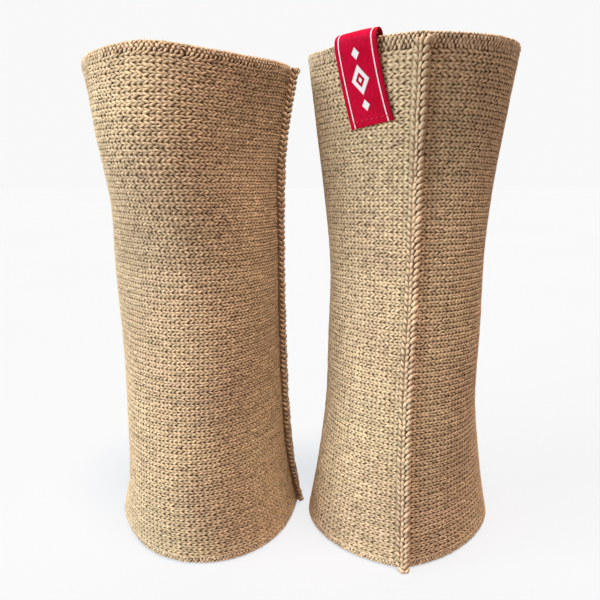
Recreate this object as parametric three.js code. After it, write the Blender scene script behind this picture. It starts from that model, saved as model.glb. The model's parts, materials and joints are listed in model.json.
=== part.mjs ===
// A pair of knitted arm warmers, standing on their hems as two hollow tubes.
// Each warmer is two half panels knitted sideways, so the stitch rows run round the arm. The panels
// meet in one raised ridge seam and, opposite it, in one flat join. A garter edge closes the panels
// at the top and at the hem. A folded woven label loops over the top edge of the right warmer.
// Millimetres, +Z up. The origin is under the middle of the pair, on the surface it stands on.
import * as THREE from 'three';

// Cloth and trim sizes.
const HEIGHT = 230;
const CLOTH = 2.4;
const JOIN_GAP = 0.3;
const HEM_EDGE = 4;
const TOP_EDGE = 7;
const ROLLED_EDGE = 4;
const GARTER = 2.9;

// How finely the faceted walls follow the cloth.
const PANEL_STEPS_ROUND = 17;
const PANEL_STEPS_UP = 16;
const RIDGE_STEPS = 20;
const LABEL_STEPS = 4;

// Half the girth divided by pi, up the warmer: a waist between two flared ends.
const GIRTH = [
  { height: 0, radius: 48.5 },
  { height: 12, radius: 45.5 },
  { height: 30, radius: 41.5 },
  { height: 60, radius: 38 },
  { height: 100, radius: 36.25 },
  { height: 140, radius: 36 },
  { height: 180, radius: 38.5 },
  { height: 210, radius: 42.75 },
  { height: HEIGHT, radius: 46.5 },
];

// The ridge seam draws the plan section out to a point, as shares of the radius: SEAM_POINT all
// along both flanks, and SEAM_PINCH only where the cloth turns into the seam, over PINCH_TURN.
const SEAM_POINT = 0.09;
const SEAM_PINCH = 0.1;
const PINCH_TURN = THREE.MathUtils.degToRad(20);

// Where each warmer stands. Its plan section has its middle at x, y and is round apart from an oval
// share along X and Y, a slant share along the diagonals and an egg share of three lobes.
// The seam faces seamAtHem degrees at the hem and seamAtTop at the top, from +X turning to +Y.
// The rim tips up by tipX towards +X and by tipY towards +Y.
const LEFT_WARMER = {
  name: 'left_warmer',
  seamAtHem: 7,
  seamAtTop: 8,
  tipX: -0.6,
  tipY: -1.5,
  sections: [
    { height: 0, x: -53.5, y: 8.5, oval: -0.05, slant: -0.075, egg: 0.02 },
    { height: 30, x: -51.5, y: -1.5, oval: -0.045, slant: 0, egg: 0.025 },
    { height: 80, x: -51.5, y: -6.5, oval: -0.005, slant: 0.01, egg: 0.035 },
    { height: 140, x: -53, y: -5.5, oval: 0.045, slant: -0.04, egg: 0.04 },
    { height: 195, x: -54.5, y: -4, oval: -0.06, slant: 0.105, egg: 0.05 },
    { height: HEIGHT, x: -57.5, y: 4.5, oval: -0.005, slant: 0.025, egg: 0.055 },
  ],
};
const RIGHT_WARMER = {
  name: 'right_warmer',
  seamAtHem: -96,
  seamAtTop: -94,
  tipX: 0,
  tipY: -4.5,
  sections: [
    { height: 0, x: 54, y: 8.5, oval: 0.025, slant: 0.055, egg: 0.02 },
    { height: 30, x: 52, y: -0.5, oval: 0.05, slant: 0.05, egg: 0.015 },
    { height: 80, x: 50.5, y: -5.5, oval: 0.015, slant: -0.005, egg: 0.01 },
    { height: 140, x: 51, y: -4.5, oval: 0.025, slant: -0.01, egg: 0 },
    { height: 195, x: 51, y: 0, oval: 0.06, slant: -0.01, egg: -0.005 },
    { height: HEIGHT, x: 49.5, y: -4.5, oval: 0.005, slant: -0.03, egg: -0.01 },
  ],
};

// Closed outlines swept round the wall: out from the cloth's face, and up from the outline's foot.
// Each goes up its outer side and comes back down its inner side in as many points.
const HEM_OUTLINE = [
  { out: -0.5, up: 0 },
  { out: 0, up: 0.7 },
  { out: 0, up: HEM_EDGE - 1 },
  { out: 0, up: HEM_EDGE },
  { out: -CLOTH, up: HEM_EDGE },
  { out: -GARTER, up: HEM_EDGE - 1 },
  { out: -GARTER, up: 0.7 },
  { out: -GARTER + 0.5, up: 0 },
];
const UPRIGHT_OUTLINE = [
  { out: 0, up: 0 },
  { out: 0, up: 1 },
  { out: 0, up: TOP_EDGE - 1 },
  { out: -0.9, up: TOP_EDGE },
  { out: -GARTER + 0.9, up: TOP_EDGE },
  { out: -GARTER, up: TOP_EDGE - 1 },
  { out: -GARTER, up: 1 },
  { out: -CLOTH, up: 0 },
];
const ROLLED_OUTLINE = [
  { out: 0, up: 0 },
  { out: 0, up: 2 },
  { out: -0.7, up: 3.8 },
  { out: -2.1, up: 4.9 },
  { out: -4.2, up: 5.1 },
  { out: -5.6, up: 4 },
  { out: -5.3, up: 2.6 },
  { out: -3.9, up: 2.1 },
  { out: -3, up: 1.2 },
  { out: -CLOTH, up: 0 },
];

// The ridge: two bound-off edges side by side with a groove between, to one side and out from the
// corner where the panels meet. It starts a little above the surface.
const RIDGE_FOOT = 1.2;
const RIDGE_OUTLINE = [
  { side: 0, out: 0.35 },
  { side: 2.6, out: 0.35 },
  { side: 2.6, out: 1.5 },
  { side: 1.9, out: 2.7 },
  { side: 0.9, out: 2.9 },
  { side: 0, out: 2 },
  { side: -0.9, out: 2.9 },
  { side: -1.9, out: 2.7 },
  { side: -2.6, out: 1.5 },
  { side: -2.6, out: 0.35 },
];

// The label: a strip folded over the rim, sewn through both legs near its foot.
const LABEL_WIDTH = 19;
const LABEL_THICK = 0.9;
const LABEL_LEG = 31.5;
const LABEL_TURN = THREE.MathUtils.degToRad(-31.5);
const LABEL_SKEW = 4;
const LABEL_FOOT_RISE = 0.14;
// Its middle line, from the foot of the outer leg over the rim to the foot of the inner leg.
const LABEL_LINE = [
  { out: 0.85, up: -LABEL_LEG },
  { out: 0.85, up: -24 },
  { out: 1.1, up: -16 },
  { out: 1.6, up: -8 },
  { out: 2, up: -1.5 },
  { out: 1.5, up: 1.2 },
  { out: -0.2, up: 2.6 },
  { out: -2.4, up: 2.5 },
  { out: -4, up: 0.9 },
  { out: -4.4, up: -2 },
  { out: -4.1, up: -9 },
  { out: -3.5, up: -18 },
  { out: -3.4, up: -LABEL_LEG },
];

const WOOL = { color: 0xbe9f76, roughness: 0.95, metalness: 0 };
const WOOL_EDGE = { color: 0xb8976c, roughness: 0.95, metalness: 0 };
const WOVEN_RED = { color: 0xc30c34, roughness: 0.6, metalness: 0 };

// A smooth reading of one named column of a table, at any height.
function column(rows, name) {
  const heights = rows.map((row) => row.height);
  const values = rows.map((row) => row[name]);
  const curve = new THREE.CubicInterpolant(heights, values, 1);
  return (height) => curve.evaluate(height)[0];
}

const radiusAt = column(GIRTH, 'radius');

// The outer face of a warmer's cloth: turn runs from the ridge seam, anticlockwise from above.
function makeWall(warmer) {
  const at = {};
  for (const name of ['x', 'y', 'oval', 'slant', 'egg']) {
    at[name] = column(warmer.sections, name);
  }
  return (height, turn) => {
    const share = height / HEIGHT;
    const seam = THREE.MathUtils.lerp(warmer.seamAtHem, warmer.seamAtTop, share);
    const angle = THREE.MathUtils.degToRad(seam) + turn;
    const lobes =
      at.oval(height) * Math.cos(2 * angle) +
      at.slant(height) * Math.sin(2 * angle) +
      at.egg(height) * Math.sin(3 * angle);
    const fromSeam = Math.abs(Math.atan2(Math.sin(turn), Math.cos(turn)));
    const point = SEAM_POINT * (2 / Math.PI - Math.sin(fromSeam / 2));
    const pinch = SEAM_PINCH * (Math.exp(-fromSeam / PINCH_TURN) - PINCH_TURN / Math.PI);
    const radius = radiusAt(height) * (1 + lobes + point + pinch);
    const tip = share ** 2 * (warmer.tipX * Math.cos(angle) + warmer.tipY * Math.sin(angle));
    const x = at.x(height) + radius * Math.cos(angle);
    const y = at.y(height) + radius * Math.sin(angle);
    return new THREE.Vector3(x, y, height + tip);
  };
}

// The level direction out of the cloth, lengthened at the seam's corner so that walls keep their
// thickness there.
function outward(wall, height, turn) {
  const step = 0.01;
  const here = wall(height, turn);
  const before = here.clone().sub(wall(height, turn - step)).normalize();
  const after = wall(height, turn + step).sub(here).normalize();
  const first = new THREE.Vector3(before.y, -before.x, 0);
  const second = new THREE.Vector3(after.y, -after.x, 0);
  return first.add(second).divideScalar(1 + before.dot(after));
}

// A point moved out from the cloth's face.
function clothPoint(wall, height, turn, out) {
  return wall(height, turn).addScaledVector(outward(wall, height, turn), out);
}

// Triangles that close the end of a loop whose first half comes back down as its second half.
function stripEnd(count) {
  const triangles = [];
  for (let j = 0; j < count / 2 - 1; j++) {
    triangles.push([j, j + 1, count - 2 - j], [j, count - 2 - j, count - 1 - j]);
  }
  return triangles;
}

// Triangles that close the end of a compact loop of any shape.
function outlineEnd(outline) {
  const loopTurn = Math.sign(THREE.ShapeUtils.area(outline));
  return THREE.ShapeUtils.triangulateShape(outline, []).map((triangle) => {
    const turn = THREE.ShapeUtils.area(triangle.map((index) => outline[index]));
    return Math.sign(turn) === loopTurn ? triangle : [...triangle].reverse();
  });
}

// One closed body through loops of points, with both ends closed by the same triangles.
function closedBody(loops, end) {
  const count = loops[0].length;
  const corners = [];
  const last = (loops.length - 1) * count;
  for (const [a, b, c] of end) {
    corners.push(c, b, a, last + a, last + b, last + c);
  }
  for (let i = 0; i < loops.length - 1; i++) {
    for (let j = 0; j < count; j++) {
      const a = i * count + j;
      const b = i * count + ((j + 1) % count);
      corners.push(a, b, b + count, a, b + count, a + count);
    }
  }
  const points = loops.flat();
  let volume = 0;
  for (let k = 0; k < corners.length; k += 3) {
    const [a, b, c] = [points[corners[k]], points[corners[k + 1]], points[corners[k + 2]]];
    volume += a.dot(new THREE.Vector3().crossVectors(b, c));
  }
  const geometry = new THREE.BufferGeometry().setFromPoints(points);
  geometry.setIndex(volume > 0 ? corners : corners.reverse());
  geometry.computeVertexNormals();
  return geometry;
}

function namedMesh(name, geometry, finish) {
  const mesh = new THREE.Mesh(geometry, new THREE.MeshStandardMaterial(finish));
  mesh.name = name;
  return mesh;
}

// A closed outline of out and height, swept round half of the warmer from the seam to the flat join.
// Both its ends stand back from the corner's middle plane by half the gap.
function sweepHalf(wall, side, rows) {
  const loops = [];
  for (let i = 0; i <= PANEL_STEPS_ROUND; i++) {
    const turn = (side * Math.PI * i) / PANEL_STEPS_ROUND;
    const setBack = { 0: 1, [PANEL_STEPS_ROUND]: -1 }[i] ?? 0;
    loops.push(
      rows.map((row) => {
        const out = outward(wall, row.height, turn);
        const along = new THREE.Vector3(-out.y, out.x, 0).normalize();
        return wall(row.height, turn)
          .addScaledVector(out, row.out)
          .addScaledVector(along, (setBack * side * JOIN_GAP) / 2);
      }),
    );
  }
  return closedBody(loops, stripEnd(rows.length));
}

function panelRows(bottom, top) {
  const rows = [];
  for (let i = 0; i <= PANEL_STEPS_UP; i++) {
    rows.push({ out: 0, height: THREE.MathUtils.lerp(bottom, top, i / PANEL_STEPS_UP) });
  }
  const inner = rows.map((row) => ({ out: -CLOTH, height: row.height })).reverse();
  return [...rows, ...inner];
}

function edgeRows(outline, foot) {
  return outline.map((row) => ({ out: row.out, height: foot + row.up }));
}

function ridgeGeometry(wall, top) {
  const loops = [];
  for (let i = 0; i <= RIDGE_STEPS; i++) {
    const height = THREE.MathUtils.lerp(RIDGE_FOOT, top, i / RIDGE_STEPS);
    const up = outward(wall, height, 0);
    loops.push(
      RIDGE_OUTLINE.map((row) => {
        const turn = row.side / radiusAt(height);
        return wall(height, turn).addScaledVector(up, row.out);
      }),
    );
  }
  return closedBody(loops, outlineEnd(RIDGE_OUTLINE.map((row) => new THREE.Vector2(row.side, row.out))));
}

// The label's outline in out and up: its middle line moved half a thickness to each side.
function labelOutline() {
  const line = LABEL_LINE.map((row) => new THREE.Vector2(row.out, row.up));
  const sideways = line.map((point, i) => {
    const from = line[Math.max(i - 1, 0)];
    const to = line[Math.min(i + 1, line.length - 1)];
    const along = to.clone().sub(from).normalize();
    return new THREE.Vector2(along.y, -along.x).multiplyScalar(LABEL_THICK / 2);
  });
  const outer = line.map((point, i) => point.clone().add(sideways[i]));
  const inner = line.map((point, i) => point.clone().sub(sideways[i])).reverse();
  return [...outer, ...inner];
}

function labelGeometry(wall) {
  const outline = labelOutline();
  const loops = [];
  for (let i = 0; i <= LABEL_STEPS; i++) {
    const across = LABEL_WIDTH * (i / LABEL_STEPS - 0.5);
    loops.push(
      outline.map(({ x: out, y: up }) => {
        const down = Math.max(-up, 0) / LABEL_LEG;
        const height = HEIGHT + up + down * across * LABEL_FOOT_RISE;
        const turn = LABEL_TURN + (across + LABEL_SKEW * down ** 2) / radiusAt(height);
        return clothPoint(wall, height, turn, out);
      }),
    );
  }
  return closedBody(loops, stripEnd(outline.length));
}

// The halves lie anticlockwise (+1) and clockwise (-1) of the seam.
function makeWarmer(warmer, sides, topOutline, topEdge, ridgeTop) {
  const wall = makeWall(warmer);
  const group = new THREE.Group();
  const panel = panelRows(HEM_EDGE + JOIN_GAP, HEIGHT - topEdge - JOIN_GAP);
  for (const { side, word } of sides) {
    const name = `${warmer.name}_${word}`;
    const top = edgeRows(topOutline, HEIGHT - topEdge);
    group.add(namedMesh(`${name}_panel`, sweepHalf(wall, side, panel), WOOL));
    group.add(namedMesh(`${name}_top_edge`, sweepHalf(wall, side, top), WOOL_EDGE));
    group.add(namedMesh(`${name}_hem_edge`, sweepHalf(wall, side, edgeRows(HEM_OUTLINE, 0)), WOOL_EDGE));
  }
  group.add(namedMesh(`${warmer.name}_ridge_seam`, ridgeGeometry(wall, ridgeTop), WOOL_EDGE));
  return group;
}

const leftHalves = [
  { side: 1, word: 'back' },
  { side: -1, word: 'front' },
];
const rightHalves = [
  { side: 1, word: 'right' },
  { side: -1, word: 'left' },
];

const pair = new THREE.Group();
pair.add(makeWarmer(LEFT_WARMER, leftHalves, ROLLED_OUTLINE, ROLLED_EDGE, HEIGHT + 1));
pair.add(makeWarmer(RIGHT_WARMER, rightHalves, UPRIGHT_OUTLINE, TOP_EDGE, HEIGHT));
pair.add(namedMesh('right_warmer_label', labelGeometry(makeWall(RIGHT_WARMER)), WOVEN_RED));

// The pair stands with the middle of its outline over the origin.
const middle = new THREE.Box3().setFromObject(pair).getCenter(new THREE.Vector3());
pair.position.set(-middle.x, -middle.y, 0);

export default pair;
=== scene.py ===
# %% [markdown]
# # A pair of knitted arm warmers
#
# Each warmer is a tube of camel wool, knitted sideways as two half panels, so that the rows of
# little V stitches run round the arm. One raised ridge seam joins the panels on the outside, a
# garter edge closes the top and the hem, and a folded woven label sits on the right warmer's rim.
#
# The solid model is loaded first as a fixed frame. Every piece made here lies on its form.

import functools
import json
import math

import bpy
import numpy as np
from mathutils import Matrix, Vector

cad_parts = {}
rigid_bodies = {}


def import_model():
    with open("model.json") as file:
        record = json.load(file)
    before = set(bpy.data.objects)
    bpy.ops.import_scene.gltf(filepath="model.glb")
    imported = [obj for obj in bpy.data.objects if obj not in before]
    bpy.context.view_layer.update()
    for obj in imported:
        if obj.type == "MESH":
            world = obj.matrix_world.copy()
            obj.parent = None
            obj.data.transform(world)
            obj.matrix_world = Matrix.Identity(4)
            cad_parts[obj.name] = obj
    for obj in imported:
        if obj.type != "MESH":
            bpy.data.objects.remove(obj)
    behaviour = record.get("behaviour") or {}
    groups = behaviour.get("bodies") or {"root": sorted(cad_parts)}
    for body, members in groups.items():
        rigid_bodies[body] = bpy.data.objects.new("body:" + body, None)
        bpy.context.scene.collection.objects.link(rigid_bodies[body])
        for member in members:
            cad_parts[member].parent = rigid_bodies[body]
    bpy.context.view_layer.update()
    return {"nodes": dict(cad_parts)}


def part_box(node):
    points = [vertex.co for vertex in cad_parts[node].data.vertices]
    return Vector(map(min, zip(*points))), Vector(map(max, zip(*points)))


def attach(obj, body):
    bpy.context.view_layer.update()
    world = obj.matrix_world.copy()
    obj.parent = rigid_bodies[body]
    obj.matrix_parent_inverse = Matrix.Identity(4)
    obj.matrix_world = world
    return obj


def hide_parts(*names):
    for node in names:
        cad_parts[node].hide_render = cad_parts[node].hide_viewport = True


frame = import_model()

# %% [markdown]
# ## The form of the tubes
#
# A knitter would measure a tube with a tape: how far round it is at each height, where its middle
# stands, and how its outline is squeezed. The same few sizes give the solid model its form, so
# the cloth made from them lies on it exactly. They are kept as small tables, one row a height.
# Lengths end up in metres, turns are in degrees, and the rest are shares.

# %% Sizes of the tubes
MM = 0.001
LENGTHS = "height radius x y out up side rise deep first row_step pitch".split()


def table(columns, *rows):
    """Rows of named sizes. Lengths are written in millimetres and kept in metres."""
    names = columns.split()
    units = [MM if name in LENGTHS else 1 for name in names]
    return [{name: value * unit for name, value, unit in zip(names, row, units)} for row in rows]


HEIGHT = 230 * MM
HEM_EDGE = 4 * MM
GIRTH = table(
    "height radius",
    (0, 48.5),
    (12, 45.5),
    (30, 41.5),
    (60, 38),
    (100, 36.25),
    (140, 36),
    (180, 38.5),
    (210, 42.75),
    (230, 46.5),
)
SEAM_POINT = 0.09
SEAM_PINCH = 0.1
PINCH_TURN = math.radians(20)
LEFT_WARMER = {
    "name": "left",
    "seam_at_hem": 7,
    "seam_at_top": 8,
    "tip_x": -0.6 * MM,
    "tip_y": -1.5 * MM,
    "sections": table(
        "height x y oval slant egg",
        (0, -53.5, 8.5, -0.05, -0.075, 0.02),
        (30, -51.5, -1.5, -0.045, 0, 0.025),
        (80, -51.5, -6.5, -0.005, 0.01, 0.035),
        (140, -53, -5.5, 0.045, -0.04, 0.04),
        (195, -54.5, -4, -0.06, 0.105, 0.05),
        (230, -57.5, 4.5, -0.005, 0.025, 0.055),
    ),
}
RIGHT_WARMER = {
    "name": "right",
    "seam_at_hem": -96,
    "seam_at_top": -94,
    "tip_x": 0,
    "tip_y": -4.5 * MM,
    "sections": table(
        "height x y oval slant egg",
        (0, 54, 8.5, 0.025, 0.055, 0.02),
        (30, 52, -0.5, 0.05, 0.05, 0.015),
        (80, 50.5, -5.5, 0.015, -0.005, 0.01),
        (140, 51, -4.5, 0.025, -0.01, 0),
        (195, 51, 0, 0.06, -0.01, -0.005),
        (230, 49.5, -4.5, 0.005, -0.03, -0.01),
    ),
}
print("tables of", len(GIRTH), "girths and", len(LEFT_WARMER["sections"]), "sections")


# %% [markdown]
# A column of such a table is read smoothly: between two measured heights the curve leaves each
# one at the average of the slopes on its two sides, as a bent batten would. Blender's own curves
# could do it, but a formula can be asked for any point of the cloth.

# %% Reading the form
def column(rows, name, by="height"):
    """A smooth reading of one column of a table, at any height or other measure."""
    heights = np.array([row[by] for row in rows], float)
    values = np.array([row[name] for row in rows], float)
    chords = np.diff(values) / np.diff(heights)
    slopes = np.concatenate([chords[:1], (chords[:-1] + chords[1:]) / 2, chords[-1:]])

    def read(height):
        height = np.clip(height, heights[0], heights[-1])
        i = np.clip(np.searchsorted(heights, height, side="right") - 1, 0, len(heights) - 2)
        step = heights[i + 1] - heights[i]
        t = (height - heights[i]) / step
        ends = values[i] * (1 + 2 * t) * (1 - t) ** 2 + values[i + 1] * t * t * (3 - 2 * t)
        return ends + step * (slopes[i] * t * (1 - t) ** 2 - slopes[i + 1] * t * t * (1 - t))

    return read


radius_at = column(GIRTH, "radius")
for warmer in (LEFT_WARMER, RIGHT_WARMER):
    warmer["read"] = {n: column(warmer["sections"], n) for n in ("x", "y", "oval", "slant", "egg")}


def wall(warmer, height, turn):
    """Points of the cloth's outer face; turn runs from the ridge seam, anticlockwise from above."""
    read = warmer["read"]
    share = height / HEIGHT
    seam = warmer["seam_at_hem"] + (warmer["seam_at_top"] - warmer["seam_at_hem"]) * share
    angle = np.radians(seam) + turn
    lobes = (
        read["oval"](height) * np.cos(2 * angle)
        + read["slant"](height) * np.sin(2 * angle)
        + read["egg"](height) * np.sin(3 * angle)
    )
    from_seam = np.abs(np.arctan2(np.sin(turn), np.cos(turn)))
    point = SEAM_POINT * (2 / math.pi - np.sin(from_seam / 2))
    pinch = SEAM_PINCH * (np.exp(-from_seam / PINCH_TURN) - PINCH_TURN / math.pi)
    radius = radius_at(height) * (1 + lobes + point + pinch)
    tip = share**2 * (warmer["tip_x"] * np.cos(angle) + warmer["tip_y"] * np.sin(angle))
    x = read["x"](height) + radius * np.cos(angle) + SHIFT[0]
    y = read["y"](height) + radius * np.sin(angle) + SHIFT[1]
    return np.stack([x, y, height + tip + 0 * angle], axis=-1)


def outward(warmer, height, turn, nudge=0.01):
    """The level direction out of the cloth, lengthened at the seam's corner."""
    here = wall(warmer, height, turn)
    before = here - wall(warmer, height, turn - nudge)
    after = wall(warmer, height, turn + nudge) - here
    before /= np.linalg.norm(before, axis=-1, keepdims=True)
    after /= np.linalg.norm(after, axis=-1, keepdims=True)
    both = before + after
    out = np.stack([both[..., 1], -both[..., 0], 0 * both[..., 0]], axis=-1)
    return out / (1 + (before * after).sum(axis=-1, keepdims=True))


# The pair stands with its middle over the origin. The solid panel's box says where that is.
PANEL_GAP = 0.3 * MM
SOLID_TOP_EDGE = 7 * MM
SHIFT = np.zeros(2)
rings = np.linspace(HEM_EDGE + PANEL_GAP, HEIGHT - SOLID_TOP_EDGE - PANEL_GAP, 17)
turns = np.linspace(0, math.pi, 18)
panel = wall(RIGHT_WARMER, rings[:, None], turns[None, :])
low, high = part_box("right_warmer_right_panel")
SHIFT = np.array([high.x - panel[..., 0].max(), low.y - panel[..., 1].min()])
print("the pair is moved by", np.round(SHIFT / MM, 2), "mm")

# %% [markdown]
# Knitting has as many stitches in a wide row as in a narrow one: the cloth stretches. So a place
# on a half panel is given as a share of the way round, from the ridge seam to the flat join, and
# a table made here turns that share into a turn at every height.

# %% Even stitches round each half
SHARES = np.linspace(0, 1, 161)
LEVELS = np.linspace(0, HEIGHT, 93)
FURTHEST_SHARE = 1.03


def half_panel(warmer, side, word):
    """One half of a warmer: its names, its mean girth and its table of turns."""
    sweep = side * np.linspace(0, math.pi, 541)
    grid = wall(warmer, LEVELS[:, None], sweep[None, :])
    steps = np.linalg.norm(np.diff(grid, axis=1), axis=-1)
    run = np.concatenate([np.zeros((len(LEVELS), 1)), np.cumsum(steps, axis=1)], axis=1)
    return {
        "warmer": warmer,
        "side": side,
        "word": word,
        "node": f"{warmer['name']}_warmer_{word}",
        "turns": np.stack([np.interp(SHARES * r[-1], r, sweep) for r in run]),
        "girth": run[:, -1].mean(),
    }


def name_of(half, kind):
    """The name of a half's piece of some kind."""
    return f"{half['warmer']['name']}_warmer_{kind}_{half['word']}"


def turn_at(half, height, share):
    """The turn at a height and a share of the way round, read between the table's values."""
    a = np.clip(height / HEIGHT, 0, 1) * (len(LEVELS) - 1)
    b = np.clip(share, 0, FURTHEST_SHARE) * (len(SHARES) - 1)
    i = np.minimum(a.astype(int), len(LEVELS) - 2)
    j = np.minimum(b.astype(int), len(SHARES) - 2)
    s, t = a - i, b - j
    turns = half["turns"]
    low = turns[i, j] * (1 - t) + turns[i, j + 1] * t
    high = turns[i + 1, j] * (1 - t) + turns[i + 1, j + 1] * t
    return low * (1 - s) + high * s


HALVES = [
    half_panel(LEFT_WARMER, 1, "back"),
    half_panel(LEFT_WARMER, -1, "front"),
    half_panel(RIGHT_WARMER, 1, "right"),
    half_panel(RIGHT_WARMER, -1, "left"),
]
for half in HALVES:
    print(half["node"], "mean width round the half:", round(half["girth"] / MM), "mm")

# %% [markdown]
# A tube of cloth that stands by itself is never quite even. Slow waves dent its wall by a part of
# a millimetre, and its rim rises softly at the seam and at its sides. A cloth simulation would
# give such unevenness too, but not in these places, so it is listed here.

# %% Dents and raised rims
# Waves: how many go round, their turn to a metre of height, each warmer's start, and the depth.
WAVES = table(
    "round climb left right deep",
    (3, 38, 1.3, 0.2, 0.3),
    (5, -61, 0.4, 2.1, 0.18),
    (2, 95, 0.9, 0.9, 0.16),
)
# Each rise of a rim runs between two shares of the way round its half, and fades out below it.
RISE_DEPTH = 32 * MM
RIM_RISES = {
    "left_warmer_back": table("start end rise", (-0.32, 0.32, 1.8)),
    "left_warmer_front": table("start end rise", (-0.32, 0.32, 1.8), (0.4, 0.78, 1.4)),
    "right_warmer_right": table("start end rise", (0, 1, 3)),
    "right_warmer_left": table("start end rise", (0.3, 0.7, 3)),
}


def dents(warmer, height, turn):
    """How far the waves push the cloth out."""
    calm = np.sin(math.pi * np.clip(height / HEIGHT, 0, 1)) ** 0.5
    waves = 0
    for wave in WAVES:
        angle = wave["round"] * turn + wave["climb"] * height + wave[warmer["name"]]
        waves = waves + wave["deep"] * np.sin(angle)
    return calm * waves


def rim_rise(half, height, share):
    """How much higher a half's cloth stands near its rim."""
    near_top = np.clip((height - HEIGHT + RISE_DEPTH) / RISE_DEPTH, 0, 1)
    total = 0
    for part in RIM_RISES[half["node"]]:
        across = np.clip((share - part["start"]) / (part["end"] - part["start"]), 0, 1)
        total = total + part["rise"] * np.sin(math.pi * across) ** 2
    return total * near_top**2 * (3 - 2 * near_top)


def cloth(half, height, share, out):
    """Points out from the cloth's face, at a height and a share of the way round."""
    turn = turn_at(half, height, share)
    warmer = half["warmer"]
    out = out + dents(warmer, height, turn)
    points = wall(warmer, height, turn) + outward(warmer, height, turn) * out[..., None]
    points[..., 2] += rim_rise(half, height, share)
    return points


print("waves in the cloth:", len(WAVES))

# %% [markdown]
# ## Camera, floor and light
#
# The camera stands a little over the warmers' rims and looks slightly down, quite near, so that
# the tubes widen towards it. Two soft low suns at the left give the knit its relief, one from
# overhead lights the flared hems, and a weak one stands behind. Area lamps are the usual choice,
# but they light a floor unevenly, and a sun doesn't. The floor glows evenly by itself, and a dim
# surround, cooler on the left and warmer on the right, fills the shadows.

# %% Camera
def new_object(name, data):
    """An object for a light, a camera or a mesh, put in the scene."""
    made = bpy.data.objects.new(name, data)
    bpy.context.scene.collection.objects.link(made)
    return made


CAMERA_BACK = 302.7 * MM
CAMERA_HEIGHT = 187.5 * MM
CAMERA_DIP = 12.74
CAMERA_LENS = 37.26
camera_data = bpy.data.cameras.new("camera")
camera = new_object("camera", camera_data)
camera.location = (SHIFT[0], SHIFT[1] - CAMERA_BACK, CAMERA_HEIGHT)
camera.rotation_euler = (math.radians(90 - CAMERA_DIP), 0, 0)
camera_data.sensor_width = 36
camera_data.lens = CAMERA_LENS
camera_data.clip_start = 0.01
bpy.context.scene.camera = camera
bpy.context.scene.view_settings.view_transform = "Standard"
print("camera set, lens", CAMERA_LENS, "mm")

# %% [markdown]
# A material is a tree of nodes. The helpers here add a node, give its inputs a value or another
# node's output, and do arithmetic, so that a material further down reads like a recipe.


# %% Helpers for node materials
def new_material(name):
    """A material with an empty node tree, its shader and its output."""
    material = bpy.data.materials.new(name)
    material.use_nodes = True
    tree = material.node_tree
    tree.nodes.clear()
    output = tree.nodes.new("ShaderNodeOutputMaterial")
    shader = tree.nodes.new("ShaderNodeBsdfPrincipled")
    tree.links.new(shader.outputs["BSDF"], output.inputs["Surface"])
    return material, tree, shader


def connect(socket, value):
    """Gives an input its value: another node's output, a number, a place or a colour."""
    if isinstance(value, bpy.types.NodeSocket):
        socket.id_data.links.new(value, socket)
    elif socket.type == "RGBA":
        socket.default_value = (*value, 1)
    else:
        socket.default_value = value


def dress(made, **values):
    """Sets a node's inputs: i0 is the first by number, a name has _ for each space."""
    for key, value in values.items():
        by_number = key[0] == "i" and key[1:].isdigit()
        connect(made.inputs[int(key[1:]) if by_number else key.replace("_", " ")], value)


def node(tree, kind, settings=None, **values):
    """A new node of that kind."""
    made = tree.nodes.new("ShaderNode" + kind)
    for key, value in (settings or {}).items():
        setattr(made, key, value)
    dress(made, **values)
    return made


def tree_of(*values):
    """The node tree of the first value that is another node's output."""
    return next(v.id_data for v in values if isinstance(v, bpy.types.NodeSocket))


def maths(operation, a, b=0.0, clamp=False):
    """The output of a Math node."""
    settings = {"operation": operation, "use_clamp": clamp}
    return node(tree_of(a, b), "Math", settings, i0=a, i1=b).outputs[0]


plus = functools.partial(maths, "ADD")
minus = functools.partial(maths, "SUBTRACT")
times = functools.partial(maths, "MULTIPLY")


def ranged(value, low, high, to_low=0.0, to_high=1.0):
    """A value's range, moved to another range."""
    return node(value.id_data, "MapRange", i0=value, i1=low, i2=high, i3=to_low, i4=to_high).outputs[0]


def mixed(share, a, b, blend="MIX"):
    """The output of a colour Mix node."""
    settings = {"data_type": "RGBA", "blend_type": blend}
    return node(tree_of(share, a, b), "Mix", settings, i0=share, i6=a, i7=b).outputs[2]


def noise(place, scale, detail=2.0, roughness=0.5):
    """Soft random grey at a place."""
    made = node(place.id_data, "TexNoise", Vector=place, Scale=scale, Detail=detail, Roughness=roughness)
    return made.outputs["Fac"]


def bumped(height, strength, distance):
    """The normal of a face with that relief on it; distance is how high the relief is."""
    return node(height.id_data, "Bump", Strength=strength, Distance=distance, Height=height).outputs[0]


# %% Floor and surround
FLOOR_GLOW = (0.645, 0.685, 0.715)
BOUNCE = (0.43, 0.315, 0.27)
bpy.ops.object.select_all(action="DESELECT")
bpy.ops.mesh.primitive_circle_add(vertices=96, radius=4, fill_type="NGON", location=(0, 0, 0))
floor = bpy.context.object
floor.name = "floor"
paper, tree, shader = new_material("white_paper")
grain = node(tree, "TexNoise", Scale=30.0).outputs["Fac"]
seen = node(tree, "LightPath").outputs["Is Camera Ray"]
dress(
    shader,
    Base_Color=mixed(grain, (0.145, 0.145, 0.145), (0.155, 0.155, 0.155)),
    Roughness=1.0,
    Specular_IOR_Level=0.0,
    Emission_Color=mixed(seen, BOUNCE, FLOOR_GLOW),
    Emission_Strength=1.0,
)
floor.data.materials.append(paper)

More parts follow.
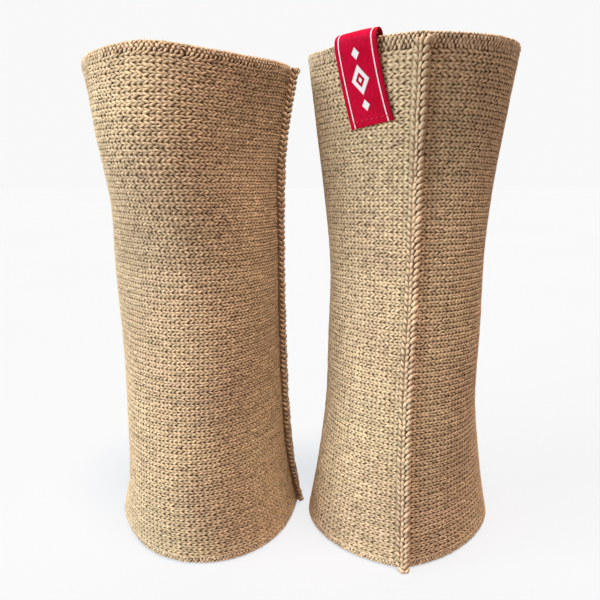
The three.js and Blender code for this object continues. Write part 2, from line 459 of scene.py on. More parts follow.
world = bpy.data.worlds.new("surround")
bpy.context.scene.world = world
world.use_nodes = True
tree = world.node_tree
tree.nodes.clear()
right, back, up = node(tree, "SeparateXYZ", Vector=node(tree, "TexCoord").outputs["Generated"]).outputs
hue = mixed(ranged(right, -1.0, 0.6), (0.9, 1.55, 1.7), (0.62, 0.35, 0.29))
strength = times(ranged(up, 0.0, 1.0, 0.04, 0.34), ranged(back, -0.5, 0.5, 1.15, 0.45))
soft = node(tree, "Background", Color=hue, Strength=strength).outputs[0]
plain = node(tree, "Background", Color=(1, 1, 1), Strength=0.94).outputs[0]
seen = node(tree, "LightPath").outputs["Is Camera Ray"]
both = node(tree, "MixShader", i0=seen, i1=soft, i2=plain).outputs[0]
node(tree, "OutputWorld", Surface=both)
print("floor and surround made")


# %% Suns
def add_sun(name, azimuth, height, spread, power, colour):
    """A sun: azimuth in degrees from the front towards the right, height above the floor."""
    data = bpy.data.lights.new(name, "SUN")
    data.angle = math.radians(spread)
    data.energy = power
    data.color = colour
    made = new_object(name, data)
    made.rotation_euler = (math.radians(90 - height), 0, math.radians(azimuth))
    print(name, "at", azimuth, "degrees, power", power)


add_sun("key_sun", -76, 14, 20, 2.0, (0.91, 1.09, 1.15))
add_sun("second_key_sun", -56, 14, 20, 1.55, (0.95, 1.07, 1.11))
add_sun("top_sun", 12, 78, 18, 4.7, (1, 0.78, 0.67))
add_sun("back_sun", 165, 55, 50, 0.7, (1, 0.97, 0.92))

# %% [markdown]
# ## Wool
#
# The yarn is a soft two-ply wool. Its camel colour drifts over the cloth between a yellow and a
# rosier tan, and each stitch is a little lighter or darker than the next. Where a strand dives
# under its neighbour its colour is painted darker, as painted shade. The ply shows as slanting
# grooves along the strand, and fine fibres roughen it. Noise at three scales does this without an
# image, so it never repeats. It is read at the cloth's own place, the grooves from the strand's UV
# map, and each strand's random tone and painted shade from two numbers, tone and lift, which its
# points carry.


# %% Wool materials
PLY_SLANT = math.radians(38)
PLY_RELIEF = 0.35
FIBRE_RELIEF = 0.4


def wool(name, light, rosy, deep):
    """Camel yarn for strands; light and rosy are its colours, deep is its painted shade."""
    material, tree, shader = new_material(name)
    place = node(tree, "TexCoord").outputs["Object"]
    strand = node(tree, "UVMap", {"uv_map": "strand"}).outputs["UV"]
    tone = node(tree, "Attribute", {"attribute_name": "tone"}).outputs["Fac"]
    lift = node(tree, "Attribute", {"attribute_name": "lift"}).outputs["Fac"]
    drift = ranged(noise(place, 22.0, 2.0, 0.55), 0.35, 0.65)
    mottle = ranged(noise(place, 850.0, 2.0, 0.6), 0.3, 0.7, 0.84, 1.16)
    fibre = noise(place, 2600.0, 3.0, 0.6)
    bright = times(times(ranged(fibre, 0.25, 0.75, 0.86, 1.14), mottle), tone)
    grey = node(tree, "CombineColor", i0=bright, i1=bright, i2=bright).outputs[0]
    colour = mixed(1.0, mixed(drift, light, rosy), grey, "MULTIPLY")
    slant = node(tree, "Mapping", Vector=strand, Rotation=(0, 0, PLY_SLANT), Scale=(1.0, 0.55, 1))
    plies = node(tree, "TexWave", Vector=slant.outputs[0], Scale=1.6, Distortion=0.6, Detail=1.0)
    relief = plus(times(plies.outputs["Fac"], PLY_RELIEF), times(fibre, FIBRE_RELIEF))
    # Painted shade: where lift is low, the strand's colour turns to deep.
    dress(
        shader,
        Base_Color=mixed(lift, deep, colour),
        Normal=bumped(relief, 0.5, 0.22 * MM),
        Roughness=0.8,
        Specular_IOR_Level=0.12,
        Sheen_Weight=0.03,
        Sheen_Roughness=0.45,
        Sheen_Tint=(1, 0.9, 0.75),
    )
    return material


# The third colour of each wool is its painted shade.
STITCH_WOOL = wool("camel_wool", (0.68, 0.52, 0.325), (0.62, 0.45, 0.29), (0.07, 0.035, 0.015))
EDGE_WOOL = wool("camel_edging_wool", (0.65, 0.50, 0.33), (0.58, 0.43, 0.29), (0.16, 0.09, 0.045))
# The seam wool is the same yarn painted a little darker, as shade on the ridge.
RIDGE_WOOL = wool("camel_seam_wool", (0.60, 0.46, 0.30), (0.56, 0.40, 0.27), (0.22, 0.13, 0.065))

# The cloth behind the strands is the same wool in their shadow, painted dark as that shadow.
painted_shadow_wool, tree, shader = new_material("shadowed_wool")
speck = noise(node(tree, "TexCoord").outputs["Object"], 900.0)
dress(
    shader,
    Base_Color=mixed(speck, (0.10, 0.055, 0.025), (0.19, 0.115, 0.06)),
    Normal=bumped(speck, 0.4, 0.3 * MM),
    Roughness=0.95,
    Specular_IOR_Level=0.1,
)
print("wool materials made")

# %% [markdown]
# ## One stitch
#
# A knit stitch shows as a V of two short strands. Each strand starts low at the point of the V,
# swells over the cloth's face, and dives under the next stitch. A bump in the material would give
# the pattern, but not the outline and the shadows of thick wool, so each V is real. One strand is
# modelled flat as a half pipe from a small grid; a mirror gives the other strand of the V. The
# points of a mesh are read and written as arrays, which is quick even for all the stitches.

# %% Helpers for meshes
random = np.random.default_rng(7)


def read_points(mesh):
    """The points of a mesh as an array."""
    points = np.empty(len(mesh.vertices) * 3, np.float32)
    mesh.vertices.foreach_get("co", points)
    return points.reshape(-1, 3).astype(float)


def write_points(mesh, points):
    """Puts an array of points back into a mesh."""
    mesh.vertices.foreach_set("co", points.astype(np.float32).ravel())
    mesh.update()


def read_uv(mesh, name):
    """The places of a mesh's face corners on one of its UV maps."""
    uv = np.empty(len(mesh.loops) * 2, np.float32)
    mesh.uv_layers[name].data.foreach_get("uv", uv)
    return uv.reshape(-1, 2)


def write_uv(mesh, name, uv):
    """Puts an array of places back into a UV map."""
    mesh.uv_layers[name].data.foreach_set("uv", uv.astype(np.float32).ravel())


def add_numbers(mesh, name, values):
    """Keeps one number per point under a name that a material reads."""
    attribute = mesh.attributes.new(name, "FLOAT", "POINT")
    attribute.data.foreach_set("value", values.astype(np.float32))


def smooth(mesh):
    """Shades all faces of a mesh smooth."""
    mesh.polygons.foreach_set("use_smooth", np.ones(len(mesh.polygons), bool))


def tell(obj):
    """Says how many faces a piece has."""
    print(obj.name, "has", len(obj.data.polygons), "faces")


def select_only(obj):
    """Makes obj the one selected and active object."""
    bpy.ops.object.select_all(action="DESELECT")
    obj.select_set(True)
    bpy.context.view_layer.objects.active = obj


def apply_modifiers(obj):
    """Applies each modifier of obj in turn."""
    select_only(obj)
    for modifier in list(obj.modifiers):
        bpy.ops.object.modifier_apply(modifier=modifier.name)


def face_outwards(obj):
    """Turns the faces of a closed body outwards."""
    select_only(obj)
    bpy.ops.object.mode_set(mode="EDIT")
    bpy.ops.mesh.select_all(action="SELECT")
    bpy.ops.mesh.normals_make_consistent(inside=False)
    bpy.ops.object.mode_set(mode="OBJECT")


def add_shape(operator, name, uv_name, **sizes):
    """A primitive, added with nothing else selected, and its points."""
    bpy.ops.object.select_all(action="DESELECT")
    operator(**sizes)
    made = bpy.context.object
    made.name = made.data.name = name
    made.data.uv_layers[0].name = uv_name
    return made, read_points(made.data)


def flat_grid(name, uv_name, along, across):
    """A flat grid, and the share along and across it of each point."""
    add = bpy.ops.mesh.primitive_grid_add
    made, points = add_shape(add, name, uv_name, x_subdivisions=along, y_subdivisions=across, size=1)
    return made, points[:, 0] + 0.5, points[:, 1] + 0.5


# %% Model the V stitch
COURSES = 55
COURSE = 2.4 * MM
ROW = 2.6 * MM
LEG_LENGTH = 3.4 * MM
LEG_START = 0.55 * MM
LEG_RADIUS = 0.67 * MM
LEG_GAP = 0.05
LEG_SPLAY = 0.225
POINT_DIVE = 0.55 * MM
END_DIVE = 0.3 * MM
DIVE_SHARE = 0.35
PIPE_ROUND = math.radians(156)
PIPE_NUDGE = 0.02


def pipe(along, across, line, thick):
    """Wraps a grid round a line: line gives (x, y, z) along it, thick is its half thickness."""
    spot = line(along)
    step = line(np.clip(along + PIPE_NUDGE, 0, 1)) - line(np.clip(along - PIPE_NUDGE, 0, 1))
    step /= np.linalg.norm(step[:, :2], axis=1, keepdims=True)
    side = np.stack([-step[:, 1], step[:, 0], 0 * along], axis=1)
    bend = (across - 0.5) * PIPE_ROUND
    drop = np.stack([0 * along, 0 * along, (np.cos(bend) - 1) * thick], axis=1)
    return spot + side * (np.sin(bend) * thick)[:, None] + drop


def swell(t, least, skip=0.0):
    """The share of its thickness that a strand has along it: least at its ends, 1 in the middle."""
    return least + (1 - least) * np.sin(math.pi * (skip + (1 - 2 * skip) * t))


def leg_line(t):
    """The crown of a leg from the point of the V (t 0) to its outer end (t 1)."""
    x = LEG_START - LEG_LENGTH * t
    y = ROW * (LEG_GAP + LEG_SPLAY * t + LEG_SPLAY * t**2 * (3 - 2 * t))
    point = 1 - np.clip(t / DIVE_SHARE, 0, 1)
    end = 1 - np.clip((1 - t) / DIVE_SHARE, 0, 1)
    return np.stack([x, y, -POINT_DIVE * point**2 - END_DIVE * end**2], axis=1)


stitch, along, across = flat_grid("stitch", "strand", 3, 3)
write_points(stitch.data, pipe(along, across, leg_line, LEG_RADIUS * swell(along, 0.7, 0.1)))
stitch.modifiers.new("other_leg", "MIRROR").use_axis = (False, True, False)
stitch.modifiers["other_leg"].use_mirror_merge = False
apply_modifiers(stitch)
tell(stitch)

# %% [markdown]
# ## The half panels
#
# Two arrays lay out a whole half panel as a flat swatch, as it comes off the needles. A hand
# knitter never makes two equal stitches, so each V is nudged, turned and thickened a little by
# seeded chance, and each row drifts up and down. The flat swatch is then wrapped on the tube: x
# becomes the share of the way round, y the height, and z the distance out of the cloth. A Curve
# modifier could wrap it too, but not on a form that changes with height. On the half that runs
# clockwise the wrap turns the strands inside out, so their faces are flipped back.


# %% Helpers for strands
def bake_cells(obj):
    """A second UV map that gives each strand a cell of its own, for texture baking."""
    mesh = obj.data
    cell = np.empty(len(mesh.loops), np.int32)
    mesh.attributes["cell"].data.foreach_get("value", cell)
    mesh.attributes.remove(mesh.attributes["cell"])
    group = np.unique(cell, return_inverse=True)[1]
    side = math.ceil(math.sqrt(group.max() + 1))
    place = np.stack([group % side, group // side], axis=1)
    uv = np.clip(read_uv(mesh, "strand"), 0, 1)
    mesh.uv_layers.new(name="OFBake")
    write_uv(mesh, "OFBake", (place + 0.06 + 0.88 * uv) / side)


def finish_strands(obj, name, tone, lift, group, material, flip=False):
    """Gives joined strands their attributes, material and smooth faces."""
    mesh = obj.data
    obj.name = mesh.name = name
    add_numbers(mesh, "tone", tone)
    add_numbers(mesh, "lift", lift)
    corners = np.empty(len(mesh.loops), np.int32)
    mesh.loops.foreach_get("vertex_index", corners)
    cell = mesh.attributes.new("cell", "INT", "CORNER")
    cell.data.foreach_set("value", group[corners].astype(np.int32))
    if flip:
        mesh.flip_normals()
    mesh.materials.clear()
    mesh.materials.append(material)
    smooth(mesh)
    mesh.update()


def copies(source, count_x, step_x, count_y, step_y):
    """A flat field of copies of one small mesh, from two applied arrays."""
    made = new_object(source.name + "_copies", source.data.copy())
    for count, offset in ((count_x, (step_x, 0, 0)), (count_y, (0, step_y, 0))):
        array = made.modifiers.new("array", "ARRAY")
        array.count = count
        array.use_relative_offset = False
        array.use_constant_offset = True
        array.constant_offset_displace = offset
    apply_modifiers(made)
    return made


def chance(middle, spread, which):
    """A seeded random number for each strand, handed to all its points."""
    return random.normal(middle, spread, which.max() + 1)[which]


def turned(x, y, spin):
    """A place turned by an angle, anticlockwise."""
    return x * np.cos(spin) - y * np.sin(spin), x * np.sin(spin) + y * np.cos(spin)


def lit(out, low, band=0.7, least=0):
    """How far points stand out of the painted shade: least below low, 1 a band above, both in mm."""
    return np.clip((out / MM - low) / band, least, 1)


# %% Knit the four half panels
ROLLED_EDGE = 4 * MM
UPRIGHT_BAND = 5.8 * MM
RIDGE_CLEAR = 1.1 * MM
JOIN_LAP = 0.5 * MM
STITCH_OUT = 0.1 * MM
# Strands at this depth in mm or deeper are painted fully in shade.
STITCH_SHADE = -0.75
# How much one stitch differs from the next.
TURN_SPREAD = 0.085
SIZE_SPREAD = 0.09
ALONG_SPREAD = 0.11 * MM
ACROSS_SPREAD = 0.09 * MM
DEPTH_SPREAD = 0.05 * MM
TONE_SPREAD = 0.085
# How far a row wanders up and down, over what length, and how its start moves from row to row.
WANDER = 0.16 * MM
WANDER_LENGTH = 10 / 2.1 * MM
WANDER_START = 2.3
WANDER_TURN = 0.7
ROW_TONE = 0.025


def panel_top(half):
    """The height at which a half panel ends under its top edge."""
    return HEIGHT - (ROLLED_EDGE if half["warmer"] is LEFT_WARMER else UPRIGHT_BAND)


def knit(half, low, high):
    """One half panel of V stitches between two heights."""
    rows = round((high - low) / ROW)
    made = copies(stitch, COURSES, COURSE, rows, ROW)
    each = len(stitch.data.vertices)
    index = np.arange(len(made.data.vertices))
    which = index // each
    leg = index // (each // 2)
    row = which // COURSES
    x, y, z = read_points(made.data).T
    mid_x = (which % COURSES) * COURSE + LEG_START - LEG_LENGTH / 2
    mid_y = row * ROW
    spin = chance(0, TURN_SPREAD, which)
    grow = chance(1, SIZE_SPREAD, which)
    dx, dy = turned(x - mid_x, (y - mid_y) * grow, spin)
    x = mid_x + dx + chance(0, ALONG_SPREAD, which)
    y = mid_y + dy + chance(0, ACROSS_SPREAD, which)
    z = z + chance(0, DEPTH_SPREAD, which)
    drift = chance(0, 1, row)
    y += WANDER * np.sin(x / WANDER_LENGTH + WANDER_START * drift) * np.cos(row * WANDER_TURN)
    share = (x + COURSE + RIDGE_CLEAR) / (COURSES * COURSE + RIDGE_CLEAR - JOIN_LAP)
    height = low + (y + ROW / 2) * (high - low) / (rows * ROW)
    tone = chance(1, TONE_SPREAD, leg) + ROW_TONE * drift
    write_points(made.data, cloth(half, height, share, z + STITCH_OUT))
    name = name_of(half, "stitches")
    finish_strands(made, name, tone, lit(z, STITCH_SHADE), leg, STITCH_WOOL, half["side"] < 0)
    bake_cells(made)
    return made


for half in HALVES:
    half["stitches"] = knit(half, HEM_EDGE, panel_top(half))
    tell(half["stitches"])

# %% [markdown]
# ## The cloth behind the stitches
#
# The strands cover a thin sheet: its outer face is the yarn that lies in shadow between them,
# painted dark as that shadow, and its inner face is the purl side, where each course shows as a
# wavy cord that runs up the tube. The inside is seen only from above, so there the cords are a
# bump that follows the sheet's own UV map, with painted shade in the grooves between them. A grid
# is laid on the tube's form, and Solidify gives it its wall, with a second material inside.


# %% Purl side of the knit
purl_wool, tree, shader = new_material("purl_wool")
place = node(tree, "TexCoord").outputs["Object"]
sheet = node(tree, "UVMap", {"uv_map": "cloth"}).outputs["UV"]
course, row, _ = node(tree, "SeparateXYZ", Vector=sheet).outputs
swing = maths("SINE", times(row, 2 * math.pi))
off = maths("ABSOLUTE", minus(maths("FRACT", plus(course, times(swing, 0.22))), 0.5))
cord = maths("SQRT", minus(1.0, times(times(off, off), 3.9)))
body = times(cord, plus(0.55, times(maths("ABSOLUTE", swing), 0.45)))
fibre = noise(place, 2200.0)
purl = mixed(noise(place, 25.0), (0.60, 0.44, 0.27), (0.53, 0.37, 0.24))
# Painted shade: the grooves between the cords are coloured dark.
purl = mixed(body, (0.10, 0.055, 0.025), purl)
dress(
    shader,
    Base_Color=mixed(fibre, purl, mixed(0.25, purl, (0.9, 0.75, 0.55))),
    Normal=bumped(plus(body, times(fibre, 0.15)), 0.8, 0.7 * MM),
    Roughness=0.9,
    Sheen_Weight=0.2,
)

# %% Lay the sheets
SHEET_OUT = -0.8 * MM
SHEET_THICK = 1.5 * MM
SHEET_PARTS = 48
SHEET_TUCK = 0.6 * MM


def lay_sheet(half):
    """The thin cloth behind a half panel's stitches."""
    name = name_of(half, "cloth")
    made, share, rise = flat_grid(name, "cloth", SHEET_PARTS, SHEET_PARTS)
    mesh = made.data
    low, high = HEM_EDGE - SHEET_TUCK, panel_top(half) + SHEET_TUCK
    write_uv(mesh, "cloth", read_uv(mesh, "cloth") * (COURSES, round((high - low) / ROW)))
    write_points(mesh, cloth(half, low + rise * (high - low), share, SHEET_OUT + 0 * share))
    if half["side"] < 0:
        mesh.flip_normals()
    mesh.materials.append(painted_shadow_wool)
    mesh.materials.append(purl_wool)
    wall_maker = made.modifiers.new("wall", "SOLIDIFY")
    wall_maker.thickness = SHEET_THICK
    wall_maker.offset = -1
    wall_maker.material_offset = 1
    apply_modifiers(made)
    mesh.name = name
    smooth(mesh)
    return made


for half in HALVES:
    half["cloth"] = lay_sheet(half)
    tell(half["cloth"])

# %% [markdown]
# ## Top and hem edges
#
# The edges are knitted across the rows, so they show as rows of small upright loops, each row set
# half a loop aside from the next, like bricks. They go up the outside, over the rim and down the
# inside: upright on the right warmer, rolled inwards on the left one. One loop is modelled, laid
# out flat by arrays, and bent over the edge's outline, because so many loops placed one by one
# would be slow. A plain closed body under them stands for the cloth inside.

# %% Outlines of the edges
HEM_OUTLINE = table("out up", (-0.5, 0), (0, 0.7), (0, 3), (0, 4))
HEM_INSIDE = table("out up", (-2.9, 3), (-2.9, 0.7), (-2.4, 0))
UPRIGHT_OUTLINE = table(
    "out up", (0, 0), (0, 1), (0, 5), (-0.8, 5.8), (-2.1, 5.8), (-2.9, 5), (-2.9, 1), (-2.4, 0)
)
ROLLED_OUTLINE = table(
    "out up",
    (0, 0),
    (0, 2),
    (-0.7, 3.8),
    (-2.1, 4.9),
    (-4.2, 5.1),
    (-5.6, 4),
    (-5.3, 2.6),
    (-3.9, 2.1),
    (-3, 1.2),
    (-2.4, 0),
)
CORNER = 0.35 * MM


def outline_reader(outline):
    """Reads an outline by its length: where it is, and which way is out of it."""
    corners = np.array([[p["out"], p["up"]] for p in outline])
    steps = np.linalg.norm(np.diff(corners, axis=0), axis=1)
    run = np.concatenate([[0], np.cumsum(steps)])

    def at(length):
        return np.stack([np.interp(length, run, corners[:, k]) for k in (0, 1)], axis=-1)

    def read(length):
        before, after = at(length - CORNER), at(length + CORNER)
        ahead = after - before
        ahead /= np.linalg.norm(ahead, axis=-1, keepdims=True)
        return (before + after) / 2, np.stack([ahead[..., 1], -ahead[..., 0]], axis=-1)

    return read, run[-1]


# %% One edge loop
LOOP_LONG = 2.6 * MM
LOOP_RADIUS = 0.58 * MM
LOOP_DIVE = 0.55 * MM
LOOP_RISE = 0.05 * MM
# Loops at this depth in mm or deeper are painted fully in shade.
LOOP_SHADE = -0.85
LOOP_TURN_SPREAD = 0.22
LOOP_SIZE_SPREAD = 0.12
LOOP_ALONG_SPREAD = 0.09 * MM
LOOP_ACROSS_SPREAD = 0.08 * MM
LOOP_TONE_SPREAD = 0.13


def loop_line(t):
    """An upright strand that comes out of the cloth, and dives in again."""
    return np.stack([0 * t, LOOP_LONG * (t - 0.5), -LOOP_DIVE * np.abs(2 * t - 1) ** 3], axis=1)


edge_loop, along, across = flat_grid("edge_loop", "strand", 4, 3)
write_points(edge_loop.data, pipe(along, across, loop_line, LOOP_RADIUS * swell(along, 0.6)))
tell(edge_loop)


# %% Closed bodies and joined pieces
def body_of_rings(name, rings, material, lift):
    """A closed body through rings of points, whose faces point outwards."""
    count, sides = rings.shape[:2]
    faces = []
    for i in range(count - 1):
        for j in range(sides):
            k = (j + 1) % sides
            faces.append((i * sides + j, i * sides + k, (i + 1) * sides + k, (i + 1) * sides + j))
    faces.append(tuple(range(sides)))
    faces.append(tuple(range((count - 1) * sides, count * sides)))
    mesh = bpy.data.meshes.new(name)
    mesh.from_pydata(rings.reshape(-1, 3).tolist(), [], faces)
    made = new_object(name, mesh)
    face_outwards(made)
    mesh.materials.append(material)
    mesh.uv_layers.new(name="strand")
    mesh.attributes.new("cell", "INT", "CORNER")
    add_numbers(mesh, "tone", np.ones(len(mesh.vertices)))
    # lift 0 colours the body all in its wool's painted shade, 1 not at all.
    add_numbers(mesh, "lift", np.full(len(mesh.vertices), lift))
    square = [(0, 0), (1, 0), (1, 1), (0, 1)]
    for face in mesh.polygons:
        for n, corner in enumerate(face.loop_indices):
            mesh.uv_layers["strand"].data[corner].uv = square[n % 4]
            mesh.attributes["cell"].data[corner].value = -1 - face.index
    smooth(mesh)
    return made


def join(name, pieces):
    """Joins pieces into the first of them, under a new name."""
    bpy.ops.object.select_all(action="DESELECT")
    for piece in pieces:
        piece.select_set(True)
    bpy.context.view_layer.objects.active = pieces[0]
    bpy.ops.object.join()
    pieces[0].name = pieces[0].data.name = name
    bake_cells(pieces[0])
    tell(pieces[0])
    return pieces[0]


# %% Rows of loops
def edge_strands(half, name, outline, foot, layer, first_cell):
    """Rows of loops that follow an outline over one half's edge."""
    pitch, row_step = layer["pitch"], layer["row_step"]
    read, length = outline_reader(outline)
    count = round(half["girth"] / pitch)
    made = copies(edge_loop, count, pitch, layer["rows"], row_step)
    which = np.arange(len(made.data.vertices)) // len(edge_loop.data.vertices)
    row, place = which // count, which % count
    x, y, z = read_points(made.data).T
    z = z * layer["relief"]
    dx, dy = x - place * pitch, (y - row * row_step) * layer["long"]
    spin = chance(0, LOOP_TURN_SPREAD, which) + layer["lean"] * (1 - 2 * (row % 2))
    grow = chance(1, LOOP_SIZE_SPREAD, which)
    dx, dy = turned(dx, dy, spin)
    x = (place + np.where(row % 2 == 1, 0.75, 0.25)) * pitch + dx * grow
    x += chance(0, LOOP_ALONG_SPREAD, which)
    run = layer["first"] + row * row_step + dy * grow
    run += chance(0, LOOP_ACROSS_SPREAD, which)
    held = np.clip(run, CORNER, length - CORNER)
    spot, way = read(held)
    spot = spot + np.stack([-way[:, 1], way[:, 0]], axis=1) * (run - held)[:, None]
    spot = spot + way * (z + chance(LOOP_RISE, DEPTH_SPREAD, which))[:, None]
    height = np.maximum(foot + spot[:, 1], 0)
    write_points(made.data, cloth(half, height, x / (count * pitch), spot[:, 0]))
    tone = chance(1, LOOP_TONE_SPREAD, which)
    cell = which + first_cell
    finish_strands(made, name, tone, lit(z, LOOP_SHADE), cell, EDGE_WOOL, half["side"] < 0)
    return made


# %% Cloth inside an edge
CORE_DEPTH = 0.6 * MM
CORE_SIDES = 12


def edge_core(half, name, outline, foot):
    """The cloth inside an edge, under its loops."""
    read, length = outline_reader(outline)
    spot, way = read(np.linspace(CORNER / 2, length - CORNER / 2, CORE_SIDES))
    inner = spot - way * CORE_DEPTH
    share = np.linspace(0, 1, SHEET_PARTS)[:, None]
    rings = cloth(half, foot + inner[None, :, 1] + 0 * share, share, inner[None, :, 0])
    # The core is coloured all in the edging wool's painted shade.
    return body_of_rings(name, rings, EDGE_WOOL, 0)


# %% Make the edges
# The cells of one layer of loops are numbered this far from the next layer's.
CELLS_APART = 10000


def make_edge(half, word, ring, foot, layers):
    """An edge: each layer of loops over its outline, and the core in its ring, as one piece."""
    name = f"{name_of(half, 'loops')}_{word}"
    pieces = []
    for n, (outline, layer) in enumerate(layers):
        pieces.append(edge_strands(half, f"{name}_{n}", outline, foot, layer, n * CELLS_APART))
    pieces.append(edge_core(half, name + "_core", ring, foot))
    return join(name, pieces)


ROLLED_LOOPS, UPRIGHT_LOOPS, HEM_LOOPS, INNER_HEM_LOOPS, LOW_HEM_LOOPS = table(
    "first rows row_step pitch long lean relief",
    (0.9, 7, 1.7, 1.8, 0.94, 0.3, 1),
    (1.0, 9, 1.5, 1.5, 0.86, 0.3, 1),
    (1.35, 2, 1.3, 1.35, 0.68, 0.15, 0.75),
    (1.5, 1, 0, 1.3, 1.1, 0, 0.6),
    (3.8, 1, 0, 1.6, 0.9, 1.35, 0.8),
)
HEM_LAYERS = [(HEM_OUTLINE, HEM_LOOPS), (HEM_INSIDE, INNER_HEM_LOOPS), (HEM_OUTLINE, LOW_HEM_LOOPS)]
for half in HALVES:
    rolled = half["warmer"] is LEFT_WARMER
    outline, loops = (ROLLED_OUTLINE, ROLLED_LOOPS) if rolled else (UPRIGHT_OUTLINE, UPRIGHT_LOOPS)
    half["top"] = make_edge(half, "top_edge", outline, panel_top(half), [(outline, loops)])
    half["hem"] = make_edge(half, "hem_edge", HEM_INSIDE + HEM_OUTLINE, 0, HEM_LAYERS)

# %% [markdown]
# Opposite the ridge the two halves meet in a flat join. It is grafted: one yarn crosses from half
# to half in every row, and closes the line where the points of the Vs meet. The edge loop serves
# again, laid on its side.


# %% Graft the flat joins
GRAFT_SLANT = 0.25
GRAFT_TURN_SPREAD = 0.1
GRAFT_DEPTH = 0.9


def graft(half):
    """The yarn across a warmer's flat join, one slanting strand to a row."""
    low, high = HEM_EDGE, panel_top(half)
    rows = round((high - low) / ROW) - 1
    made = copies(edge_loop, 1, 0, rows, ROW)
    which = np.arange(len(made.data.vertices)) // len(edge_loop.data.vertices)
    x, y, z = read_points(made.data).T
    y -= which * ROW
    spin = GRAFT_SLANT + chance(0, GRAFT_TURN_SPREAD, which)
    across = y * np.cos(spin) + x * np.sin(spin)
    up = (which + 1) * ROW - x * np.cos(spin) + y * np.sin(spin)
    out = GRAFT_DEPTH * z + chance(0, DEPTH_SPREAD, which)
    height = low + up * (high - low) / ((rows + 1) * ROW)
    write_points(made.data, cloth(half, height, 1 + across / half["girth"], out))
    tone = chance(1, TONE_SPREAD, which)
    name = f"{half['warmer']['name']}_warmer_join_stitches"
    finish_strands(made, name, tone, lit(z, LOOP_SHADE), which, STITCH_WOOL)
    bake_cells(made)
    return made


for half in (HALVES[0], HALVES[2]):
    half["warmer"]["join"] = graft(half)
    tell(half["warmer"]["join"])

# %% [markdown]
# ## Ridge seams
#
# Where the two halves are bound off together on the outside, the seam stands up as a ridge with
# three columns of strands: fat slanting ones on one side, and a chain of two slimmer ones beside
# them. There is one of each to a row. A strand is a round closed body. A bevelled curve would
# need its ends capped, so it starts as a sphere, whose poles are closed, drawn out along a curve.

# %% Sizes of the ridge
RIDGE_FOOT = 1.2 * MM
RIDGE_CORE = table(
    "side out", (0, 0.1), (2.2, 0.1), (2.2, 1.2), (1.4, 2.0), (0, 1.4), (-1.4, 1.9), (-2.2, 1.1), (-2.2, 0.1)
)
# Each column's strand: where it starts, bends and ends (side, out, up), and half its thickness.
RIDGE_COLUMNS = table(
    "start bend end thick",
    ((0.15, 1.6, -0.2), (1.15, 3.6, 0.9), (2.25, 1.1, 2.5), 0.92),
    ((-0.95, 1.5, -0.05), (-0.8, 3.2, 1.2), (-0.4, 1.6, 2.5), 0.63),
    ((-1.5, 1.5, 0.0), (-2.35, 2.9, 1.1), (-2.5, 0.5, 2.4), 0.6),
)
# The tuft at the ridge's foot, where the yarn's ends are tied off.
RIDGE_TUFT = table(
    "start bend end thick",
    ((-1.8, 0.8, 0.6), (-1.0, 3.6, 0.2), (0.2, 2.6, 2.2), 0.8),
    ((0.2, 1.2, 0.5), (1.2, 3.9, 0.1), (2.2, 1.8, 2.6), 0.9),
    ((-2.2, 1.2, 2.6), (-0.6, 3.9, 1.4), (1.0, 2.2, 0.6), 0.7),
    ((-1.6, 1.0, 3.4), (0.2, 3.8, 2.6), (2.0, 1.6, 3.6), 0.7),
    ((-1.3, 1.2, 1.2), (0.2, 3.0, 1.0), (1.5, 1.3, 1.4), 0.95),
)
print("strands to a row of the ridge:", len(RIDGE_COLUMNS))

# %% One round strand
add_ball = bpy.ops.mesh.primitive_uv_sphere_add
ball, ball_points = add_shape(add_ball, "round_strand", "strand", segments=7, ring_count=6, radius=1)
ball_along = (ball_points[:, 2:] + 1) / 2
tell(ball)


def drawn_out(start, bend, end, thick):
    """The sphere's points drawn out along a curve through three places, in millimetres."""
    start, bend, end = (np.array(v, float) for v in (start, bend, end))
    t = ball_along
    spot = (1 - t) ** 2 * start + 2 * t * (1 - t) * bend + t**2 * end
    ahead = 2 * (1 - t) * (bend - start) + 2 * t * (end - bend)
    ahead /= np.linalg.norm(ahead, axis=1, keepdims=True)
    side = np.cross(ahead, (0.0, 1.0, 0.0) if abs(ahead[0, 1]) < 0.9 else (1.0, 0.0, 0.0))
    side /= np.linalg.norm(side, axis=1, keepdims=True)
    other = np.cross(side, ahead)
    round_share = np.sqrt(np.clip(1 - (2 * t - 1) ** 4, 0, 1)) * thick
    flat = np.linalg.norm(ball_points[:, :2], axis=1, keepdims=True)
    way = np.divide(ball_points[:, :2], flat, out=np.zeros((len(flat), 2)), where=flat > 1e-6)
    return (spot + (side * way[:, :1] + other * way[:, 1:]) * round_share) * MM


def on_ridge(warmer, points):
    """Places points given as side, out and up on a warmer's ridge."""
    side, out, up = points.T
    turn = side / radius_at(up)
    return wall(warmer, up, turn) + outward(warmer, up, 0 * up) * out[:, None]


# %% Make the ridges
RIDGE_STEP = 2.6 * MM
RIDGE_ENDS = 2 * MM
FIRST_STRAND = 1.8 * MM
FLOOR_CLEAR = 0.2 * MM
RIDGE_SPREAD = 0.07
RIDGE_PLACE_SPREAD = 0.09 * MM
CORE_RINGS = 60
# The ridge core is coloured mostly in the seam wool's painted shade.
CORE_LIFT = 0.2


